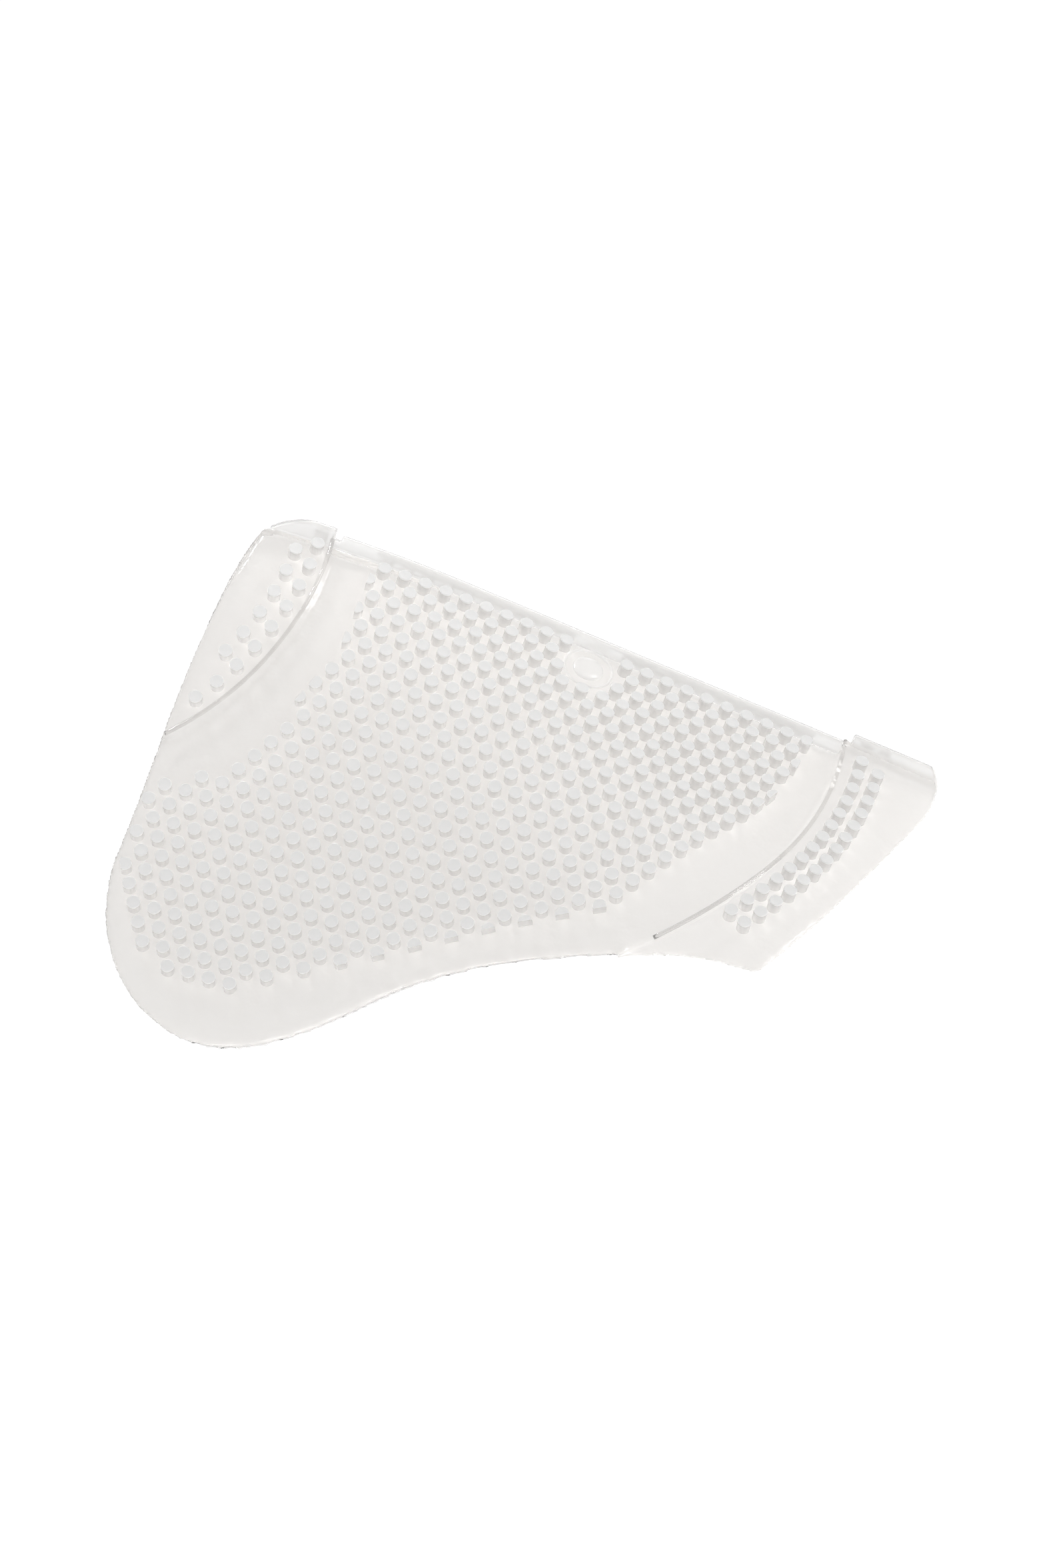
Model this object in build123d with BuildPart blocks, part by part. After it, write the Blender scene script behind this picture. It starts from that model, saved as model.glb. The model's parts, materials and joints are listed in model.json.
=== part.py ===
# Studded gel half pad: a soft saddle pad of two bent flanks that hang from one spine strip.
# It is drawn with the spine along X and stood on its two front lobes and two rear tips at the end.
from build123d import *
from math import asin, atan2, ceil, cos, degrees, hypot, radians, sin, sqrt, tan
import os

# The left flank as a sheet: "along" runs rearwards down the spine, "down" runs down the slope.
roof_slope = 32.5        # fall of the flank beside the spine
fold_skew = 26.7         # the bend runs rearwards and outwards at this angle to the spine
fold_start = 150.0       # where the bend leaves the spine
bend_radius = 350.0
bend_angle = 28.0        # the flank hangs this much steeper below the bend
pad_thickness = 7.0

# The side outline, seen square to the spine: x rearwards, z up from the spine line.
crown_height = 14.0      # top of the outline, over the rear riser
nose_x = -16.0           # the rounded nose comes down to the front edge here
nose_drop = 24.0
front_edge_x = -25.0
lobe_radius = 100.0
lobe_x = 77.5
lobe_drop = 273.0
waist_x = 371.0
waist_drop = 185.0
heel_x = 473.0
heel_drop = 157.0
heel_radius = 8.0
tail_x = 553.0
tail_radius = 27.0
tail_turn = 119.0        # how far round the tail corner turns

# The spine strip and the fold beside it
strip_half_width = 8.0
strip_thickness = 11.0
strip_crown = 1.5        # the strip stands proud of the spine line
strip_round = 6.0
fold_clearance = 0.4     # between the strip and a flank
closing_angle = 12.0     # a flank can fold in this far
fold_axis_height = 4.0   # the fold line, above the spine line

# The risers: raised wedges at the front and the rear
front_riser_rise = 3.5
front_riser_at = 42.0    # the riser's edge, along the spine
front_riser_radius = 247.0
front_riser_level = 41.0 # where its curved edge stands square to the spine
rear_riser_rise = 7.0
rear_riser_at = 472.0
rear_riser_radius = 318.0
rear_riser_level = 55.0
riser_gap = 3.0          # half the notch in the spine strip beside each riser
notch_depth = 5.0
notch_round = 2.0

# The studs
stud_pitch = 17.0
stud_radius = 5.6
stud_height = 10.0
first_row = 24.0         # down from the spine
stud_clearance = 0.02    # over the riser and the panel
front_stud_inset = 12.0  # from the riser's edge to its first column of studs
front_stud_pitch = 21.0
front_stud_start = -4.0  # where both columns start on the riser's arc, in degrees
front_stud_ends = (38.0, 29.0)  # the outer column ends sooner, before the sheet's front edge
rear_stud_inset = 17.0
rear_stud_pitch = 16.5
rear_stud_start = -4.5
rear_stud_ends = (33.5, 33.5)
field_outline = [        # along, down
    (76, 17), (447, 17), (440, 82), (414, 150), (366, 240), (350, 257), (276, 296),
    (137, 383), (88, 414), (34, 413), (4, 396), (-16, 362), (-31, 330), (-31, 262),
    (18, 230), (54, 171), (76, 112),
]

# The badge beside the spine
badge_along = 262.0
badge_down = 36.0
badge_radius = 21.0
badge_ring_width = 2.4
badge_ring_height = 1.6
badge_dome_radius = 12.5
badge_dome_height = 3.2
badge_dome_rim = 0.8
badge_stud_gap = 0.2     # the least gap between the ring and a whole stud

far = 700.0              # past every edge of the pad

slope = radians(roof_slope)
skew = radians(fold_skew)
bend = radians(bend_angle)
downhill = Vector(0, -cos(slope), -sin(slope))
roof_normal = Vector(0, -sin(slope), cos(slope))
fold_line = Vector(1, 0, 0) * cos(skew) + downhill * sin(skew)
across = Vector(-1, 0, 0) * sin(skew) + downhill * cos(skew)
fold_origin = Vector(fold_start, 0, 0)
section_plane = Plane(origin=fold_origin, x_dir=across, z_dir=-fold_line)


def sheet_point(along, down, lift=0.0):
    """Point and normal of the flank's outer face, at a place on the flat sheet."""
    past = -(along - fold_start) * sin(skew) + down * cos(skew)
    run = (along - fold_start) * cos(skew) + down * sin(skew)
    turn = min(max(past / bend_radius, 0.0), bend)
    flat = past - turn * bend_radius
    out = across * cos(turn) - roof_normal * sin(turn)
    normal = across * sin(turn) + roof_normal * cos(turn)
    point = fold_origin + fold_line * run + across * (bend_radius * sin(turn))
    point = point - roof_normal * (bend_radius * (1 - cos(turn))) + out * flat
    return point + normal * lift, normal


def sheet_plane(along, down, lift):
    """Plane that touches the flank there, with its x direction along the sheet's rows."""
    point, normal = sheet_point(along, down, lift)
    ahead = sheet_point(along + 1, down)[0] - sheet_point(along, down)[0]
    return Plane(origin=point, x_dir=ahead - normal * ahead.dot(normal), z_dir=normal)


def side(along, down):
    """The same place in the side outline."""
    point = sheet_point(along, down)[0]
    return (point.X, point.Z)


def bent_section(outer, inner):
    """Section of a layer of the flank between two lifts from its outer face, square to the bend."""
    with BuildSketch(section_plane) as section:
        with BuildLine():
            corners = []
            for lift in (outer, inner):
                radius = bend_radius + lift
                end = Vector(radius * sin(bend), lift - radius * (1 - cos(bend)))
                tip = end + Vector(cos(bend), -sin(bend)) * far
                middle = Vector(radius * sin(bend / 2), lift - radius * (1 - cos(bend / 2)))
                Line((-far, lift), (0, lift))
                ThreePointArc((0, lift), middle, end)
                Line(end, tip)
                corners.append(tip)
            Line((-far, outer), (-far, inner))
            Line(corners[0], corners[1])
        make_face()
    return section.sketch


def riser_edge(at, radius, level, turn):
    """Place on the flat sheet of a riser's curved edge: an arc, by its angle from square to the spine."""
    return at - radius + radius * cos(radians(turn)), level + radius * sin(radians(turn))


# The side outline as one closed face, drawn from the nose over the spine and back underneath
lobe_turn = radians(28)  # where the belly leaves the lobe
with BuildSketch(Plane.XZ) as outline:
    with BuildLine():
        nose = ThreePointArc((nose_x, -nose_drop), (nose_x * 0.1, -10), (front_riser_at - riser_gap, 2))
        tail_centre = (tail_x - tail_radius, crown_height - tail_radius)
        top_end = (tail_centre[0], crown_height)
        Polyline(nose @ 1, (front_riser_at + 3 * riser_gap, crown_height), top_end)
        tail = CenterArc(tail_centre, tail_radius, 90, -tail_turn)
        rear_middle = (tail @ 1 + Vector(heel_x, -heel_drop)) * 0.5
        rear = ThreePointArc(tail @ 1, rear_middle + Vector(2, -1.2), (heel_x, -heel_drop))
        belly = Spline(
            rear @ 1,
            (waist_x, -waist_drop),
            ((waist_x + lobe_x) / 2 + 4, -(waist_drop + lobe_drop + lobe_radius) / 2 + 8),
            (lobe_x + lobe_radius * sin(lobe_turn), -lobe_drop - lobe_radius * cos(lobe_turn)),
            tangents=[(-1, -0.02), (-cos(lobe_turn), -sin(lobe_turn))],
        )
        lobe = ThreePointArc(
            belly @ 1,
            (lobe_x - lobe_radius * sin(radians(45)), -lobe_drop - lobe_radius * cos(radians(45))),
            (lobe_x - lobe_radius, -lobe_drop),
        )
        Spline(
            lobe @ 1,
            (front_edge_x - 2, -lobe_drop * 0.43),
            nose @ 0,
            tangents=[(0, 1), (0.25, 1)],
        )
    make_face()
    fillet(outline.vertices().sort_by_distance((heel_x, -heel_drop))[0], radius=heel_radius)

# What a flank may fill: the outline, outside the fold line, cut back so that it can fold in
fold_y = -(strip_half_width + fold_clearance)
with BuildPart() as flank_room:
    extrude(outline.sketch, amount=far, dir=(0, -1, 0))
    with BuildSketch(Plane.YZ.offset(-far)):
        with BuildLine():
            Polyline(
                (fold_y, fold_axis_height + far / 4),
                (fold_y, fold_axis_height),
                (fold_y - far * tan(radians(closing_angle + 0.5)), fold_axis_height - far),
                (fold_y + far, fold_axis_height - far),
                (fold_y + far, fold_axis_height + far / 4),
                close=True,
            )
        make_face()
    extrude(amount=3 * far, mode=Mode.SUBTRACT)


def riser_side(at, radius, level, towards):
    """Side view of the ground on one side of a riser's curved edge."""
    places = [riser_edge(at, radius, level, turn) for turn in (-20, 0, 25, 45, 60)]
    with BuildSketch(Plane.XZ) as ground:
        with BuildLine():
            points = [side(*place) for place in places]
            edge = Spline(*points)
            Polyline(
                edge @ 1,
                edge @ 1 + Vector(towards * far, -far),
                edge @ 0 + Vector(towards * far, far),
                edge @ 0 + Vector(0, far),
                edge @ 0,
            )
        make_face()
    return ground.sketch


# Flank panels
with BuildPart() as left_flank_pad:
    extrude(bent_section(0.0, -pad_thickness), amount=far, dir=fold_line, both=True)
    add(flank_room.part, mode=Mode.INTERSECT)

risers = {
    "front": (front_riser_at, front_riser_radius, front_riser_level, -1, front_riser_rise),
    "rear": (rear_riser_at, rear_riser_radius, rear_riser_level, 1, rear_riser_rise),
}
pieces = {"left_flank_pad": left_flank_pad.part}
for end, (at, radius, level, towards, rise) in risers.items():
    with BuildPart() as riser:
        extrude(bent_section(rise, 0.0), amount=far, dir=fold_line, both=True)
        add(flank_room.part, mode=Mode.INTERSECT)
        extrude(riser_side(at, radius, level, towards), amount=far, dir=(0, -1, 0), mode=Mode.INTERSECT)
    pieces[f"left_{end}_riser"] = riser.part


def edge_gap(point, start, finish):
    """How far a point stands inside one side of the field, which runs clockwise on the sheet."""
    run = Vector(finish[0] - start[0], finish[1] - start[1]).normalized()
    return run.X * (point[1] - start[1]) - run.Y * (point[0] - start[0])


def lattice(rows):
    """Stud middles on the triangular lattice."""
    for row in range(rows):
        down = first_row + row * stud_pitch * sqrt(3) / 2
        shift = stud_pitch / 2 * (row % 2)
        for column in range(-4, ceil(tail_x / stud_pitch)):
            yield column * stud_pitch + shift, down


def stud(along, down, lift, trims=()):
    """One stud, square to the sheet, trimmed flat where it would cross the field's outline."""
    with BuildPart() as one:
        with BuildSketch(sheet_plane(along, down, lift + stud_clearance)):
            Circle(stud_radius)
            for gap, turn in trims:
                with Locations(Rotation(0, 0, turn) * Location((0, -gap - stud_radius, 0))):
                    Rectangle(4 * stud_radius, 2 * stud_radius, mode=Mode.SUBTRACT)
        extrude(amount=stud_height)
    return one.part


def field_studs():
    """The main field, trimmed along its outline and left out around the badge."""
    sides = list(zip(field_outline, field_outline[1:] + field_outline[:1]))
    rows = ceil((max(down for _, down in field_outline) - first_row) / (stud_pitch * sqrt(3) / 2)) + 1
    for along, down in lattice(rows):
        if hypot(along - badge_along, down - badge_down) < badge_radius + stud_radius + badge_stud_gap:
            continue
        if not inside_field(along, down, sides):
            continue
        trims = []
        for start, finish in sides:
            gap = edge_gap((along, down), start, finish)
            run = Vector(finish[0] - start[0], finish[1] - start[1])
            place = ((along - start[0]) * run.X + (down - start[1]) * run.Y) / run.length**2
            reach = stud_radius / run.length
            if gap < stud_radius and -reach < place < 1 + reach:
                trims.append((gap, -degrees(atan2(run.Y, run.X)) + 180))
        yield stud(along, down, 0.0, trims)


def inside_field(along, down, sides):
    """Even-odd test, for a stud whose middle is far enough in."""
    inside = False
    for start, finish in sides:
        if (start[1] > down) != (finish[1] > down):
            cross = start[0] + (down - start[1]) * (finish[0] - start[0]) / (finish[1] - start[1])
            if along < cross:
                inside = not inside
    return inside


def riser_studs(at, radius, level, towards, rise, inset, pitch, start, ends):
    """Two staggered columns of studs that follow a riser's curved edge."""
    for column, end in enumerate(ends):
        reach = radius + towards * (inset + column * stud_pitch * sqrt(3) / 2)
        step = degrees(pitch / reach)
        count = int((end - start) / step - column / 2)
        for number in range(count + 1):
            turn = radians(start + step * (number + column / 2))
            yield stud(at - radius + reach * cos(turn), level + reach * sin(turn), rise)


groups = {
    "left_grip_studs": field_studs(),
    "left_front_riser_studs": riser_studs(
        *risers["front"], front_stud_inset, front_stud_pitch, front_stud_start, front_stud_ends),
    "left_rear_riser_studs": riser_studs(
        *risers["rear"], rear_stud_inset, rear_stud_pitch, rear_stud_start, rear_stud_ends),
}
for name, studs in groups.items():
    with BuildPart() as group:
        add(list(studs))
    pieces[name] = group.part

# Badge: a ring with a low dome in it
badge_plane = sheet_plane(badge_along, badge_down, stud_clearance)
with BuildPart() as left_badge_ring:
    with BuildSketch(badge_plane):
        Circle(badge_radius)
        Circle(badge_radius - badge_ring_width, mode=Mode.SUBTRACT)
    extrude(amount=badge_ring_height)
    upper = left_badge_ring.faces().sort_by(Axis(badge_plane.origin, badge_plane.z_dir))[-1]
    fillet(upper.edges(), radius=badge_ring_height / 3)
pieces["left_badge_ring"] = left_badge_ring.part

dome_crown = badge_dome_height - badge_dome_rim
dome_sphere = (badge_dome_radius**2 + dome_crown**2) / (2 * dome_crown)
with BuildPart() as left_badge_dome:
    with BuildSketch(Plane(badge_plane.origin, x_dir=badge_plane.x_dir, z_dir=-badge_plane.y_dir)):
        with BuildLine():
            wall = Polyline((0, 0), (badge_dome_radius, 0), (badge_dome_radius, badge_dome_rim))
            RadiusArc(wall @ 1, (0, badge_dome_height), -dome_sphere)
            Line((0, badge_dome_height), (0, 0))
        make_face()
    revolve(axis=Axis(badge_plane.origin, badge_plane.z_dir))
pieces["left_badge_dome"] = left_badge_dome.part

# The right flank mirrors the left one
for name, piece in list(pieces.items()):
    with BuildPart() as twin:
        mirror(piece, about=Plane.XZ)
    pieces[name.replace("left_", "right_")] = twin.part


def strip_line(x):
    """Height of the crest beside the strip: the bend makes it droop towards the nose."""
    past = max(fold_start - x, 0.0) * sin(skew)
    return -past**2 / (2 * bend_radius * cos(slope))


def spine_strip(start, finish, rise, rounding=strip_round):
    """One length of the strip, with a rounded top, trimmed by the side outline."""
    with BuildPart() as strip:
        with BuildSketch(Plane.XZ.offset(-strip_half_width)):
            with BuildLine():
                for level in (strip_crown + rise, strip_crown - strip_thickness):
                    bend_end = min(finish, fold_start)
                    if start < bend_end:
                        ThreePointArc(
                            (start, strip_line(start) + level),
                            ((start + bend_end) / 2, strip_line((start + bend_end) / 2) + level),
                            (bend_end, strip_line(bend_end) + level),
                        )
                    if bend_end < finish:
                        Line((max(start, bend_end), level), (finish, level))
                for x in (start, finish):
                    Line(
                        (x, strip_line(x) + strip_crown + rise),
                        (x, strip_line(x) + strip_crown - strip_thickness),
                    )
            make_face()
        extrude(amount=2 * strip_half_width)
        crown = strip.faces().filter_by(lambda face: face.normal_at().Z > 0.9).edges()
        long_edges = crown.filter_by(lambda edge: abs(edge.center().Y) > strip_half_width - 0.01)
        fillet(long_edges, radius=rounding)
        extrude(outline.sketch, amount=far, both=True, mode=Mode.INTERSECT)
    return strip.part


with BuildPart() as spine_bridge:
    add(spine_strip(front_riser_at + riser_gap, rear_riser_at - riser_gap, 0.0))
    for notch in (front_riser_at, rear_riser_at):
        add(spine_strip(notch - riser_gap, notch + riser_gap, -notch_depth, notch_round))
pieces["spine_bridge"] = spine_bridge.part
pieces["front_bridge_riser"] = spine_strip(
    nose_x - 10, front_riser_at - riser_gap, front_riser_rise / cos(slope))
pieces["rear_bridge_riser"] = spine_strip(
    rear_riser_at + riser_gap, tail_x + 10, rear_riser_rise / cos(slope))

# Stand the pad on its lobes and its rear tips: the ground is tangent to both in the side outline
lobe_centre = Vector(lobe_x, 0, -lobe_drop)
heel_centre = Vector(heel_x - heel_radius, 0, -heel_drop + heel_radius)
gap = heel_centre - lobe_centre
spine_fall = degrees(atan2(gap.Z, gap.X)) + degrees(asin((lobe_radius - heel_radius) / gap.length))
tilt = Rotation(0, spine_fall, 0)
box = Compound(children=[piece.moved(tilt) for piece in pieces.values()]).bounding_box()
stand = Location((-box.center().X, 0, -box.min.Z)) * tilt

os.makedirs("parts", exist_ok=True)
for name, piece in pieces.items():
    placed = piece.moved(stand)
    placed.label = name
    export_step(placed, f"parts/{name}.step")
fold_middle = stand * Location((fold_start, strip_half_width + fold_clearance, fold_axis_height))
print("spine falls", round(spine_fall, 3), "degrees; fold line through", fold_middle.position)
print("box", box.size)
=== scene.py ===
import bmesh
import bpy
import json
from math import atan2, ceil, cos, degrees, hypot, pi, radians, sin, sqrt
from mathutils import Matrix, Vector, noise
from mathutils.kdtree import KDTree


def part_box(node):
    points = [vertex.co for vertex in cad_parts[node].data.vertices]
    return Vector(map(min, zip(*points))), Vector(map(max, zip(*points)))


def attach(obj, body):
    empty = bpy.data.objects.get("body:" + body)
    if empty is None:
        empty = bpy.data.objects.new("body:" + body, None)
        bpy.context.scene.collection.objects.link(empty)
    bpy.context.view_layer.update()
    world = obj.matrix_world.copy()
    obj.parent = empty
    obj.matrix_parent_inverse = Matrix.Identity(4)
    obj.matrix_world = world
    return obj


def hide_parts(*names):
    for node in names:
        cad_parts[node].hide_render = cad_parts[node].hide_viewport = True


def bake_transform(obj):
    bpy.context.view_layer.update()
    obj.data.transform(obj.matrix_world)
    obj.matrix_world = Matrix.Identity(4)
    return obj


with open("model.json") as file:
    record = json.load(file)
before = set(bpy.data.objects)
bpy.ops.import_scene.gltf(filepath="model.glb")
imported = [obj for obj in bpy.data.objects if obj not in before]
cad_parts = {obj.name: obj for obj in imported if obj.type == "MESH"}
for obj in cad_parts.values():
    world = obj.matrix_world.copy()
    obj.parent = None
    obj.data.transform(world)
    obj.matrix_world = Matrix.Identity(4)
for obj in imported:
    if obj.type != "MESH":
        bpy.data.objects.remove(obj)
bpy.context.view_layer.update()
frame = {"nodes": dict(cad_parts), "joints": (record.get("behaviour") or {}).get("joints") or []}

scene = bpy.context.scene


# ---- camera and studio ----

shot = {
    "lookAt": (0.0010, -0.0239, 0.1409),
    "right": (0.9879, 0.0603, -0.1441),
    "up": (0.1326, 0.1629, 0.9778),
    "distance": 24.0,
    "lens": 702.4,
    "sensor": 36.0,
    "clipEnd": 200.0,
}
studio = {
    "floorSize": 60.0,
    "floorDrop": 0.08,  # the flanks swing below where they rest
    "floorGlow": 0.95,
    "floorColour": 0.20,
    "floorRough": 0.9,
    "floorShine": 0.1,
    "roomLow": 0.50,  # at the horizon
    "roomHigh": 0.36,  # overhead
    "roomTurn": 0.75,  # how high up the overhead grey starts
    "lampsLookAt": (0, 0, 0.15),
    "key": ((-0.6, 0.2, 2.3), 0.35, 21.0),  # place, size, power
    "fill": ((2.2, -0.6, 1.8), 0.8, 14.0),
    "back": ((0.6, 2.4, 1.6), 1.4, 7.0),
}


def deselectAll():
    if bpy.context.object and bpy.context.object.mode != "OBJECT":
        bpy.ops.object.mode_set(mode="OBJECT")
    bpy.ops.object.select_all(action="DESELECT")


def makeCamera():
    right = Vector(shot["right"]).normalized()
    up = Vector(shot["up"])
    back = right.cross(up).normalized()
    up = back.cross(right)
    data = bpy.data.cameras.new("camera")
    data.lens = shot["lens"]
    data.sensor_width = shot["sensor"]
    data.clip_end = shot["clipEnd"]
    camera = bpy.data.objects.new("camera", data)
    scene.collection.objects.link(camera)
    place = Matrix.Translation(Vector(shot["lookAt"]) + back * shot["distance"])
    camera.matrix_world = place @ Matrix((right, up, back)).transposed().to_4x4()
    scene.camera = camera


def makeStudio():
    deselectAll()
    bpy.ops.mesh.primitive_plane_add(size=studio["floorSize"], location=(0, 0, -studio["floorDrop"]))
    floor = bpy.context.object
    floor.name = "floor"
    paper = bpy.data.materials.new("whitePaper")
    paper.use_nodes = True
    shader = paper.node_tree.nodes["Principled BSDF"]
    grey = studio["floorColour"]
    shader.inputs["Base Color"].default_value = (grey, grey, grey, 1)
    shader.inputs["Roughness"].default_value = studio["floorRough"]
    shader.inputs["Specular IOR Level"].default_value = studio["floorShine"]
    shader.inputs["Emission Color"].default_value = (1, 1, 1, 1)
    shader.inputs["Emission Strength"].default_value = studio["floorGlow"]
    floor.data.materials.append(paper)

    world = bpy.data.worlds.new("room")
    scene.world = world
    world.use_nodes = True
    tree = world.node_tree
    tree.nodes.clear()
    coords = tree.nodes.new("ShaderNodeTexCoord")
    split = tree.nodes.new("ShaderNodeSeparateXYZ")
    ramp = tree.nodes.new("ShaderNodeValToRGB")
    room = tree.nodes.new("ShaderNodeBackground")
    out = tree.nodes.new("ShaderNodeOutputWorld")
    low = studio["roomLow"]
    high = studio["roomHigh"]
    ramp.color_ramp.elements[0].position = 0.0
    ramp.color_ramp.elements[0].color = (low, low, low, 1)
    ramp.color_ramp.elements[1].position = studio["roomTurn"]
    ramp.color_ramp.elements[1].color = (high, high, high, 1)
    tree.links.new(coords.outputs["Generated"], split.inputs[0])
    tree.links.new(split.outputs["Z"], ramp.inputs[0])
    tree.links.new(ramp.outputs[0], room.inputs["Color"])
    paperWall = tree.nodes.new("ShaderNodeBackground")  # what shows behind the pad is white
    seen = tree.nodes.new("ShaderNodeLightPath")
    either = tree.nodes.new("ShaderNodeMixShader")
    tree.links.new(seen.outputs["Is Camera Ray"], either.inputs[0])
    tree.links.new(room.outputs[0], either.inputs[1])
    tree.links.new(paperWall.outputs[0], either.inputs[2])
    paperWall.inputs["Color"].default_value = (1, 1, 1, 1)
    tree.links.new(either.outputs[0], out.inputs[0])

    for name in ("key", "fill", "back"):
        place, size, power = studio[name]
        data = bpy.data.lights.new(name, "AREA")
        data.shape = "SQUARE"
        data.size = size
        data.energy = power
        lamp = bpy.data.objects.new(name, data)
        scene.collection.objects.link(lamp)
        lamp.location = place
        aim = Vector(studio["lampsLookAt"]) - Vector(place)
        lamp.rotation_euler = aim.to_track_quat("-Z", "Y").to_euler()


makeCamera()
makeStudio()
scene.view_settings.view_transform = "Standard"
print("camera and studio done")


# ---- the gel sheet: flat places to places in the frame ----

sheet = {
    "roofSlope": 32.5,
    "foldSkew": 26.7,
    "foldStart": 0.150,
    "bendRadius": 0.350,
    "bendAngle": 28.0,
    "foldOffset": (0.150, 0.0084, 0.004),  # the fold line, before the pad is stood up
}

slope = radians(sheet["roofSlope"])
skew = radians(sheet["foldSkew"])
bend = radians(sheet["bendAngle"])
downhill = Vector((0, -cos(slope), -sin(slope)))
roofNormal = Vector((0, -sin(slope), cos(slope)))
foldLine = Vector((cos(skew), 0, 0)) + downhill * sin(skew)
across = Vector((-sin(skew), 0, 0)) + downhill * cos(skew)

rightFold = [joint for joint in frame["joints"] if joint["name"] == "right_flank_fold"][0]
spineFall = atan2(-rightFold["axis"][2], rightFold["axis"][0])
standTurn = Matrix.Rotation(spineFall, 4, "Y")
stand = Matrix.Translation(Vector(rightFold["pos_m"]) - standTurn @ Vector(sheet["foldOffset"])) @ standTurn


# where a spot of the flat sheet goes once it bends past the fold: along the spine, down from it, above it
def sheetPoint(along, down, lift=0.0):
    start = sheet["foldStart"]
    radius = sheet["bendRadius"]
    past = -(along - start) * sin(skew) + down * cos(skew)
    run = (along - start) * cos(skew) + down * sin(skew)
    turn = min(max(past / radius, 0.0), bend)
    flat = past - turn * radius
    out = across * cos(turn) - roofNormal * sin(turn)
    normal = across * sin(turn) + roofNormal * cos(turn)
    point = Vector((start, 0, 0)) + foldLine * run + across * (radius * sin(turn))
    point = point - roofNormal * (radius * (1 - cos(turn))) + out * flat
    return point + normal * lift, normal


# stands a small shape up on the bent sheet
def sheetMatrix(along, down, lift=0.0):
    point, normal = sheetPoint(along, down, lift)
    ahead = sheetPoint(along + 0.001, down)[0] - sheetPoint(along, down)[0]
    ahead = (ahead - normal * ahead.dot(normal)).normalized()
    side = normal.cross(ahead)
    turn = Matrix((ahead, side, normal)).transposed().to_4x4()
    return stand @ Matrix.Translation(point) @ turn


# ---- clear gel ----

gel = {
    "ior": 1.42,
    "patchDetail": 4.0,
    "patchRange": (0.35, 0.65),
    "grainDetail": 3.0,
    "lampWarmth": (1.0, 0.995, 0.99),  # what the gel lets through is a little warm
}
panelTint = (0.945, 0.933, 0.921, 1)
# painted shade: stud walls and riser lips get this darker tint, standing in for shade on their sides
studWallShadeTint = (0.830, 0.822, 0.813, 1)
# rough is its least and most, patches the scale that it varies on, grain its scale, depth and strength,
# clear the glassy share, and lampShare how much lamp light passes through
gelKinds = {
    "panelGel": {"tint": panelTint, "rough": (0.06, 0.16), "patches": 30.0, "grain": (45.0, 0.0016, 0.5),
                 "clear": 0.50, "lampShare": 0.93},
    "underGel": {"tint": panelTint, "rough": (0.50, 0.62), "patches": 60.0, "grain": (260.0, 0.0005, 0.5),
                 "clear": 0.30, "lampShare": 0.90},
    # painted light: the stud caps are the lit copy of the stud gel, tinted whiter than the panel
    "litStudCapGel": {"tint": (1.000, 0.999, 0.996, 1), "rough": (0.03, 0.08), "patches": 80.0,
                "grain": (160.0, 0.0003, 0.2), "clear": 0.20, "lampShare": 0.88},
    # painted shade: the shaded copy of the stud gel, darker, for the stud side walls
    "shadedStudWallGel": {"tint": studWallShadeTint, "rough": (0.02, 0.05), "patches": 80.0,
                    "grain": (160.0, 0.0003, 0.2), "clear": 0.60, "lampShare": 0.88},
    # painted light: the spine strip is tinted whiter than the panel, standing in for the crest lit from above
    "litStripGel": {"tint": (1.000, 0.994, 0.988, 1), "rough": (0.08, 0.16), "patches": 40.0,
                 "grain": (60.0, 0.0006, 0.4), "clear": 0.55, "lampShare": 0.93},
    # painted shade: the lip carries the darker wall tint so the riser's step shows as a dark line
    "lipGel": {"tint": studWallShadeTint, "rough": (0.02, 0.05), "patches": 60.0, "grain": (120.0, 0.0003, 0.2),
               "clear": 0.85, "lampShare": 0.60},
    "badgeGel": {"tint": (0.990, 0.987, 0.984, 1), "rough": (0.03, 0.06), "patches": 60.0,
                 "grain": (120.0, 0.0003, 0.2), "clear": 0.50, "lampShare": 0.85},
}


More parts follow.
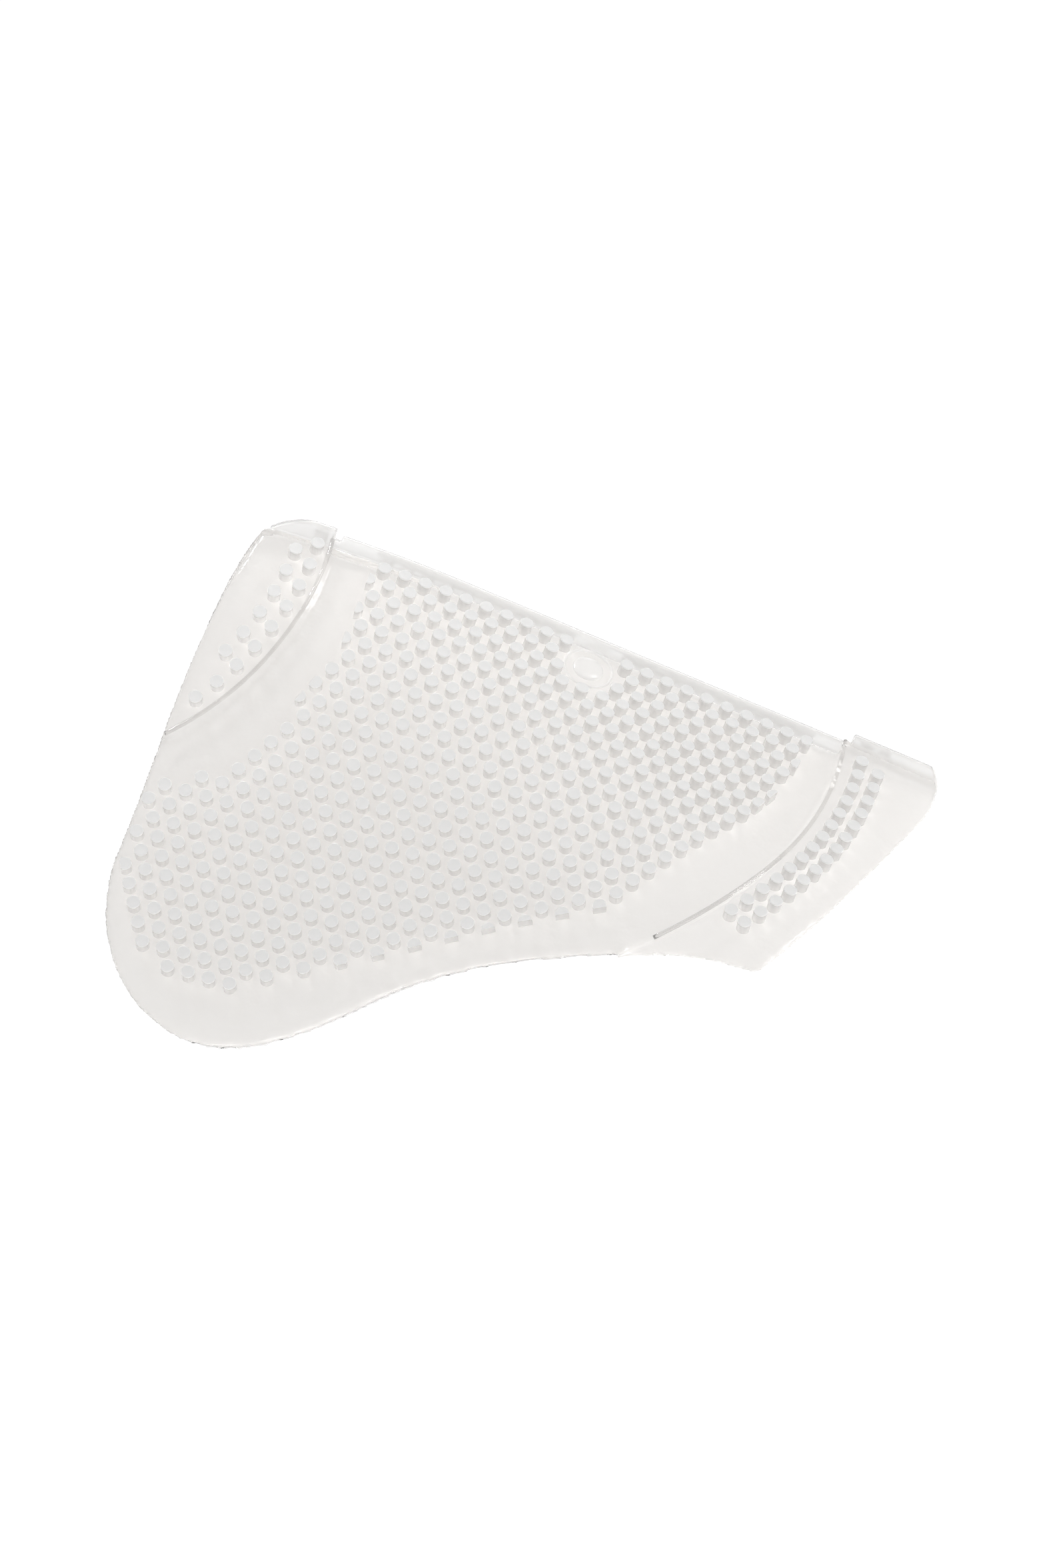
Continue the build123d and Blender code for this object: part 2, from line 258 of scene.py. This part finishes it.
def makeGel(name):
    kind = gelKinds[name]
    material = bpy.data.materials.new(name)
    material.use_nodes = True
    tree = material.node_tree
    shader = tree.nodes["Principled BSDF"]
    shader.inputs["Base Color"].default_value = kind["tint"]
    shader.inputs["Transmission Weight"].default_value = kind["clear"]
    shader.inputs["IOR"].default_value = gel["ior"]
    coords = tree.nodes.new("ShaderNodeTexCoord")
    patches = tree.nodes.new("ShaderNodeTexNoise")
    patches.inputs["Scale"].default_value = kind["patches"]
    patches.inputs["Detail"].default_value = gel["patchDetail"]
    spread = tree.nodes.new("ShaderNodeMapRange")
    spread.inputs["From Min"].default_value = gel["patchRange"][0]
    spread.inputs["From Max"].default_value = gel["patchRange"][1]
    spread.inputs["To Min"].default_value = kind["rough"][0]
    spread.inputs["To Max"].default_value = kind["rough"][1]
    tree.links.new(coords.outputs["Object"], patches.inputs["Vector"])
    tree.links.new(patches.outputs["Fac"], spread.inputs["Value"])
    tree.links.new(spread.outputs["Result"], shader.inputs["Roughness"])
    grain = tree.nodes.new("ShaderNodeTexNoise")
    grainScale, grainDepth, grainStrength = kind["grain"]
    grain.inputs["Scale"].default_value = grainScale
    grain.inputs["Detail"].default_value = gel["grainDetail"]
    bump = tree.nodes.new("ShaderNodeBump")
    bump.inputs["Strength"].default_value = grainStrength
    bump.inputs["Distance"].default_value = grainDepth
    tree.links.new(coords.outputs["Object"], grain.inputs["Vector"])
    tree.links.new(grain.outputs["Fac"], bump.inputs["Height"])
    tree.links.new(bump.outputs["Normal"], shader.inputs["Normal"])
    letThrough = tree.nodes.new("ShaderNodeBsdfTransparent")  # the lamps reach what lies inside the gel
    letThrough.inputs["Color"].default_value = (*(kind["lampShare"] * part for part in gel["lampWarmth"]), 1)
    ray = tree.nodes.new("ShaderNodeLightPath")
    either = tree.nodes.new("ShaderNodeMixShader")
    out = tree.nodes["Material Output"]
    tree.links.new(ray.outputs["Is Shadow Ray"], either.inputs[0])
    tree.links.new(shader.outputs[0], either.inputs[1])
    tree.links.new(letThrough.outputs[0], either.inputs[2])
    tree.links.new(either.outputs[0], out.inputs["Surface"])
    return material


panelGel = makeGel("panelGel")
underGel = makeGel("underGel")
litStudCapGel = makeGel("litStudCapGel")
shadedStudWallGel = makeGel("shadedStudWallGel")
litStripGel = makeGel("litStripGel")
lipGel = makeGel("lipGel")
badgeGel = makeGel("badgeGel")
print("gel mixed")


# ---- helpers ----

def newPiece(name, verts, faces, materials):
    mesh = bpy.data.meshes.new(name)
    mesh.from_pydata(verts, [], faces)
    mesh.validate()
    mesh.update()
    piece = bpy.data.objects.new(name, mesh)
    scene.collection.objects.link(piece)
    for material in materials:
        mesh.materials.append(material)
    return piece


def copyNodes(names, name):
    deselectAll()
    copies = []
    for node in names:
        twin = frame["nodes"][node].copy()
        twin.data = twin.data.copy()
        twin.parent = None
        for key in list(twin.keys()):
            if key.startswith("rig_"):
                del twin[key]
        scene.collection.objects.link(twin)
        twin.select_set(True)
        copies.append(twin)
    bpy.context.view_layer.objects.active = copies[0]
    if len(copies) > 1:
        bpy.ops.object.join()
    piece = bpy.context.view_layer.objects.active
    piece.name = name
    piece.data.materials.clear()
    return piece


def applyModifier(piece, kind, **settings):
    deselectAll()
    piece.select_set(True)
    bpy.context.view_layer.objects.active = piece
    modifier = piece.modifiers.new(kind, kind)
    for key, value in settings.items():
        setattr(modifier, key, value)
    bpy.ops.object.modifier_apply(modifier=modifier.name)


def mergeDoubles(piece, distance=0.00001):
    deselectAll()
    piece.select_set(True)
    bpy.context.view_layer.objects.active = piece
    bpy.ops.object.mode_set(mode="EDIT")
    bpy.ops.mesh.select_all(action="SELECT")
    bpy.ops.mesh.remove_doubles(threshold=distance)
    bpy.ops.object.mode_set(mode="OBJECT")


def shadeSmooth(piece, angle=None):
    deselectAll()
    piece.select_set(True)
    bpy.context.view_layer.objects.active = piece
    if angle is None:
        bpy.ops.object.shade_smooth()
    else:
        bpy.ops.object.shade_smooth_by_angle(angle=radians(angle))


def mirrored(piece, name):
    verts = [(v.co.x, -v.co.y, v.co.z) for v in piece.data.vertices]
    faces = [tuple(reversed(p.vertices)) for p in piece.data.polygons]
    twin = newPiece(name, verts, faces, piece.data.materials)
    twin.data.polygons.foreach_set("material_index", [p.material_index for p in piece.data.polygons])
    twin.data.update()
    return twin


def bendWith(piece):
    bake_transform(piece)


# ---- flank skins ----

skin = {
    "voxel": 0.0023,
    "softenTurns": 12,
    "waveHeight": 0.0009,
    "waveSize": 0.085,
    "tuckUnderStrip": 0.0019,
    "tuckWidth": 0.006,
    "quickVoxel": 0.0036,
    "rimWidth": 0.013,  # the gel thins towards its rim over this much
    "rimDropTop": 0.0024,
    "rimDropUnder": 0.0012,
    "rimLow": -0.0015,  # rim walls start this far under the outer face
    "wallFacing": 0.5,
    "underFacing": -0.3,
    "softenShare": 0.5,
}


# the way the sheet faces beside a spot, and how far the spot is above its outer face
def outward(spot):
    local = stand.inverted() @ spot - Vector((sheet["foldStart"], 0, 0))
    reach = local.dot(across)
    high = local.dot(roofNormal)
    turn = min(max(atan2(reach, sheet["bendRadius"] + high), 0.0), bend) if reach > 0 else 0.0
    normal = across * sin(turn) + roofNormal * cos(turn)
    centre = -roofNormal * sheet["bendRadius"]
    lift = (local - centre).dot(normal) - sheet["bendRadius"]
    return standTurn @ normal, lift


# both faces close in towards the sheet's rim, apart from the edge beside the spine
def thinRim(piece, inner):
    spots = [vertex.co.copy() for vertex in piece.data.vertices]
    facing = [vertex.normal.copy() for vertex in piece.data.vertices]
    sheetFacing = [outward(spot) for spot in spots]
    rim = []
    for spot, normal, (out, lift) in zip(spots, facing, sheetFacing):
        wall = abs(normal.dot(out)) < skin["wallFacing"] and lift < skin["rimLow"]
        if wall and spot.y < inner - skin["tuckWidth"]:
            rim.append(spot)
    tree = KDTree(len(rim))
    for number, spot in enumerate(rim):
        tree.insert(spot, number)
    tree.balance()
    for vertex, spot, normal, (out, lift) in zip(piece.data.vertices, spots, facing, sheetFacing):
        distance = tree.find(spot)[2]
        if distance < skin["rimWidth"]:
            share = (1 - distance / skin["rimWidth"])**2
            drop = skin["rimDropTop"] if normal.dot(out) > 0 else -skin["rimDropUnder"]
            vertex.co = spot - out * share * drop


def makeSkin():
    piece = copyNodes(["left_flank_pad", "left_front_riser", "left_rear_riser"], "leftFlankSkin")
    mergeDoubles(piece)
    voxel = skin["voxel"]
    applyModifier(piece, "REMESH", mode="VOXEL", voxel_size=voxel)
    applyModifier(piece, "SMOOTH", factor=skin["softenShare"], iterations=skin["softenTurns"])
    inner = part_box("left_flank_pad")[1].y
    thinRim(piece, inner)
    facing = [vertex.normal.copy() for vertex in piece.data.vertices]
    for vertex, normal in zip(piece.data.vertices, facing):
        spot = vertex.co + normal * noise.noise(vertex.co / skin["waveSize"]) * skin["waveHeight"]
        near = max(0.0, 1.0 - (inner - spot.y) / skin["tuckWidth"])
        spot.y += skin["tuckUnderStrip"] * min(near, 1.0)
        vertex.co = spot
    piece.data.materials.append(panelGel)
    piece.data.materials.append(underGel)
    for face in piece.data.polygons:
        face.material_index = 1 if face.normal.z < skin["underFacing"] else 0
    shadeSmooth(piece)
    return piece


leftSkin = makeSkin()
rightSkin = mirrored(leftSkin, "rightFlankSkin")
shadeSmooth(rightSkin)
for side, piece in (("left", leftSkin), ("right", rightSkin)):
    bendWith(piece)
    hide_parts(side + "_flank_pad", side + "_front_riser", side + "_rear_riser")
print("flank skins done", len(leftSkin.data.polygons))


# ---- spine strip ----

strip = {
    "voxel": 0.0010,
    "softenTurns": 14,
    "softenShare": 0.5,
    "notches": ((0.030, 0.062), (0.458, 0.486)),  # along the spine, beside the risers
    "webHalfWidth": 0.0076,
    "webTop": -0.0035,
    "webBottom": -0.0090,
}


def makeStrip():
    piece = copyNodes(["spine_bridge", "front_bridge_riser", "rear_bridge_riser"], "spineStrip")
    for start, finish in strip["notches"]:
        centre = (start + finish) / 2
        past = max(sheet["foldStart"] - centre, 0) * sin(skew)
        droop = -past**2 / (2 * sheet["bendRadius"] * cos(slope))  # the ridge falls where the bend crosses it
        deselectAll()
        bpy.ops.mesh.primitive_cube_add(size=1)
        web = bpy.context.object
        size = (finish - start, 2 * strip["webHalfWidth"], strip["webTop"] - strip["webBottom"], 1)
        middle = (strip["webTop"] + strip["webBottom"]) / 2 + droop
        web.data.transform(stand @ Matrix.Translation((centre, 0, middle)) @ Matrix.Diagonal(size))
        deselectAll()
        web.select_set(True)
        piece.select_set(True)
        bpy.context.view_layer.objects.active = piece
        bpy.ops.object.join()
    mergeDoubles(piece)
    applyModifier(piece, "REMESH", mode="VOXEL", voxel_size=strip["voxel"])
    applyModifier(piece, "SMOOTH", factor=strip["softenShare"], iterations=strip["softenTurns"])
    piece.data.materials.append(litStripGel)
    shadeSmooth(piece)
    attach(piece, "spine")
    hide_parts("spine_bridge", "front_bridge_riser", "rear_bridge_riser")
    return piece


spineStrip = makeStrip()
print("spine strip done", len(spineStrip.data.polygons))


# ---- studs ----

stud = {
    "pitch": 0.017,
    "radius": 0.0056,
    "height": 0.010,
    "sunk": 0.0010,
    "edge": 0.0006,
    "sides": 20,
    "firstRow": 0.024,
    "outline": [  # along, down
        (0.076, 0.017), (0.447, 0.017), (0.440, 0.082), (0.414, 0.150), (0.366, 0.240), (0.350, 0.257),
        (0.276, 0.296), (0.137, 0.383), (0.088, 0.414), (0.034, 0.413), (0.004, 0.396), (-0.016, 0.362),
        (-0.031, 0.330), (-0.031, 0.262), (0.018, 0.230), (0.054, 0.171), (0.076, 0.112),
    ],
    "badgeAlong": 0.262,
    "badgeDown": 0.036,
    "badgeKeepOut": 0.025,
    "tailEnd": 0.553,
    "firstColumn": -4,
    "crispAngle": 35,  # edges sharper than this stay crisp
    "hair": 0.0001,
}
# a riser's edge is an arc: its place on the spine, radius and middle's level, then its step and its studs
frontRiser = {"at": 0.042, "radius": 0.247, "level": 0.041, "towards": -1, "rise": 0.0035,
              "inset": 0.012, "pitch": 0.021, "start": -4.0, "ends": (38.0, 29.0)}
rearRiser = {"at": 0.472, "radius": 0.318, "level": 0.055, "towards": 1, "rise": 0.007,
             "inset": 0.017, "pitch": 0.0165, "start": -4.5, "ends": (33.5, 33.5)}


def makeStudShape():
    deselectAll()
    tall = stud["height"] + stud["sunk"]
    bpy.ops.mesh.primitive_cylinder_add(
        vertices=stud["sides"], radius=stud["radius"], depth=tall, location=(0, 0, 0))
    shape = bpy.context.object
    shape.data.transform(Matrix.Translation((0, 0, tall / 2 - stud["sunk"])))
    top = stud["height"] - stud["hair"]
    for edge in shape.data.edges:
        edge.select = all(shape.data.vertices[v].co.z > top for v in edge.vertices)
    for vertex in shape.data.vertices:
        vertex.select = vertex.co.z > top
    bpy.context.tool_settings.mesh_select_mode = (False, True, False)
    bpy.ops.object.mode_set(mode="EDIT")
    bpy.ops.mesh.bevel(offset=stud["edge"], segments=1, affect="EDGES")
    bpy.ops.object.mode_set(mode="OBJECT")
    return shape


def edgeGap(point, start, finish):
    length = hypot(finish[0] - start[0], finish[1] - start[1])
    runX = (finish[0] - start[0]) / length
    runY = (finish[1] - start[1]) / length
    return runX * (point[1] - start[1]) - runY * (point[0] - start[0])


def insideField(along, down, sides):
    inside = False
    for start, finish in sides:
        if (start[1] > down) != (finish[1] > down):
            cross = start[0] + (down - start[1]) * (finish[0] - start[0]) / (finish[1] - start[1])
            if along < cross:
                inside = not inside
    return inside


# staggered rows, left out around the badge and cut off along the outline
def fieldPlaces():
    outline = stud["outline"]
    sides = list(zip(outline, outline[1:] + outline[:1]))
    rowStep = stud["pitch"] * sqrt(3) / 2
    rows = ceil((max(down for _, down in outline) - stud["firstRow"]) / rowStep) + 1
    places = []
    for row in range(rows):
        down = stud["firstRow"] + row * rowStep
        for column in range(stud["firstColumn"], ceil(stud["tailEnd"] / stud["pitch"])):
            along = column * stud["pitch"] + stud["pitch"] / 2 * (row % 2)
            if hypot(along - stud["badgeAlong"], down - stud["badgeDown"]) < stud["badgeKeepOut"]:
                continue
            if not insideField(along, down, sides):
                continue
            trims = []
            for start, finish in sides:
                gap = edgeGap((along, down), start, finish)
                runX = finish[0] - start[0]
                runY = finish[1] - start[1]
                square = runX**2 + runY**2
                place = ((along - start[0]) * runX + (down - start[1]) * runY) / square
                reach = stud["radius"] / sqrt(square)
                if gap < stud["radius"] and -reach < place < 1 + reach:
                    trims.append((gap, -atan2(runY, runX) + pi))
            places.append((along, down, 0.0, trims))
    return places


# two staggered columns that follow a riser's curved edge
def riserPlaces(riser):
    places = []
    for column, end in enumerate(riser["ends"]):
        reach = riser["radius"] + riser["towards"] * (riser["inset"] + column * stud["pitch"] * sqrt(3) / 2)
        step = degrees(riser["pitch"] / reach)
        count = int((end - riser["start"]) / step - column / 2)
        for number in range(count + 1):
            turn = radians(riser["start"] + step * (number + column / 2))
            places.append((riser["at"] - riser["radius"] + reach * cos(turn),
                           riser["level"] + reach * sin(turn), riser["rise"], []))
    return places


def trimmedShape(shape, trims):
    work = bmesh.new()
    work.from_mesh(shape.data)
    for gap, turn in trims:
        facing = Vector((-sin(turn), cos(turn), 0))
        whole = work.verts[:] + work.edges[:] + work.faces[:]
        cut = bmesh.ops.bisect_plane(work, geom=whole, dist=1e-6, plane_co=facing * -gap,
                                     plane_no=facing, clear_inner=True)
        edges = [item for item in cut["geom_cut"] if isinstance(item, bmesh.types.BMEdge)]
        if edges:
            bmesh.ops.edgeloop_fill(work, edges=edges)
    verts = [v.co.copy() for v in work.verts]
    work.verts.index_update()
    faces = [[v.index for v in face.verts] for face in work.faces]
    work.free()
    return verts, faces


def makeStuds(name, shape, places):
    plain = trimmedShape(shape, [])
    verts = []
    faces = []
    walls = []
    capHeight = stud["height"] - stud["edge"] - stud["hair"]
    for along, down, lift, trims in places:
        shapeVerts, shapeFaces = trimmedShape(shape, trims) if trims else plain
        place = sheetMatrix(along, down, lift)
        first = len(verts)
        verts.extend(place @ spot for spot in shapeVerts)
        faces.extend([first + corner for corner in face] for face in shapeFaces)
        walls.extend(min(shapeVerts[corner].z for corner in face) < capHeight for face in shapeFaces)
    piece = newPiece(name, verts, faces, [litStudCapGel, shadedStudWallGel])
    # faces down a stud's side take the painted-shade wall gel, the caps take the painted-light cap gel
    piece.data.polygons.foreach_set("material_index", [int(wall) for wall in walls])
    piece.data.update()
    shadeSmooth(piece, stud["crispAngle"])
    return piece


studShape = makeStudShape()
studGroups = {
    "GripStuds": ("grip_studs", fieldPlaces()),
    "FrontRiserStuds": ("front_riser_studs", riserPlaces(frontRiser)),
    "RearRiserStuds": ("rear_riser_studs", riserPlaces(rearRiser)),
}
for label, (node, places) in studGroups.items():
    left = makeStuds("left" + label, studShape, places)
    right = mirrored(left, "right" + label)
    shadeSmooth(right, stud["crispAngle"])
    for side, piece in (("left", left), ("right", right)):
        bendWith(piece)
        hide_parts(side + "_" + node)
    print(label, len(places))
bpy.data.objects.remove(studShape)


# ---- lips along the risers' edges ----

lip = {
    "thickness": 0.0018,
    "sunk": 0.0006,
    "roundness": 3,
    "steps": 60,
    "front": (-7.2, 45.0),  # from the strip to the rim, as turns on the riser's arc
    "rear": (-8.0, 43.0),
}


# a bead of gel along the top of a riser's step
def makeLip(name, riser, turns):
    curve = bpy.data.curves.new(name, "CURVE")
    curve.dimensions = "3D"
    curve.bevel_depth = lip["thickness"]
    curve.bevel_resolution = lip["roundness"]
    curve.use_fill_caps = True
    spline = curve.splines.new("POLY")
    spline.points.add(lip["steps"])
    for step in range(lip["steps"] + 1):
        turn = radians(turns[0] + (turns[1] - turns[0]) * step / lip["steps"])
        along = riser["at"] - riser["radius"] + riser["radius"] * cos(turn)
        along += riser["towards"] * lip["thickness"]
        down = riser["level"] + riser["radius"] * sin(turn)
        spot = stand @ sheetPoint(along, down, riser["rise"] - lip["sunk"])[0]
        spline.points[step].co = (*spot, 1)
    piece = bpy.data.objects.new(name, curve)
    scene.collection.objects.link(piece)
    deselectAll()
    piece.select_set(True)
    bpy.context.view_layer.objects.active = piece
    bpy.ops.object.convert(target="MESH")
    piece = bpy.context.object
    piece.data.materials.clear()
    piece.data.materials.append(lipGel)
    mergeDoubles(piece)
    shadeSmooth(piece)
    return piece


for label, riser in (("front", frontRiser), ("rear", rearRiser)):
    left = makeLip("left" + label.capitalize() + "Lip", riser, lip[label])
    right = mirrored(left, left.name.replace("left", "right"))
    shadeSmooth(right)
    for side, piece in (("left", left), ("right", right)):
        bendWith(piece)
print("lips done")


# ---- badges ----

badge = {
    "ringRadius": 0.0198,
    "ringWall": 0.0013,
    "ringSquash": 1.1,
    "domeRadius": 0.0125,
    "domeHeight": 0.0034,
    "ringSides": (64, 12),
    "domeSides": (48, 24),
}


def makeBadge():
    place = sheetMatrix(stud["badgeAlong"], stud["badgeDown"])
    deselectAll()
    around, through = badge["ringSides"]
    bpy.ops.mesh.primitive_torus_add(major_radius=badge["ringRadius"], minor_radius=badge["ringWall"],
                                     major_segments=around, minor_segments=through)
    ring = bpy.context.object
    ring.name = "leftBadgeRing"
    ring.data.transform(place @ Matrix.Diagonal((1, 1, badge["ringSquash"], 1)))
    deselectAll()
    around, over = badge["domeSides"]
    bpy.ops.mesh.primitive_uv_sphere_add(segments=around, ring_count=over, radius=badge["domeRadius"])
    dome = bpy.context.object
    dome.name = "leftBadgeDome"
    dome.data.transform(Matrix.Diagonal((1, 1, badge["domeHeight"] / badge["domeRadius"], 1)))
    dome.data.transform(place)
    for piece in (ring, dome):
        piece.data.materials.clear()
        piece.data.materials.append(badgeGel)
        shadeSmooth(piece)
    return ring, dome


for left, node in zip(makeBadge(), ("badge_ring", "badge_dome")):
    right = mirrored(left, left.name.replace("left", "right"))
    shadeSmooth(right)
    for side, piece in (("left", left), ("right", right)):
        bendWith(piece)
        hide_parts(side + "_" + node)
print("badges done")
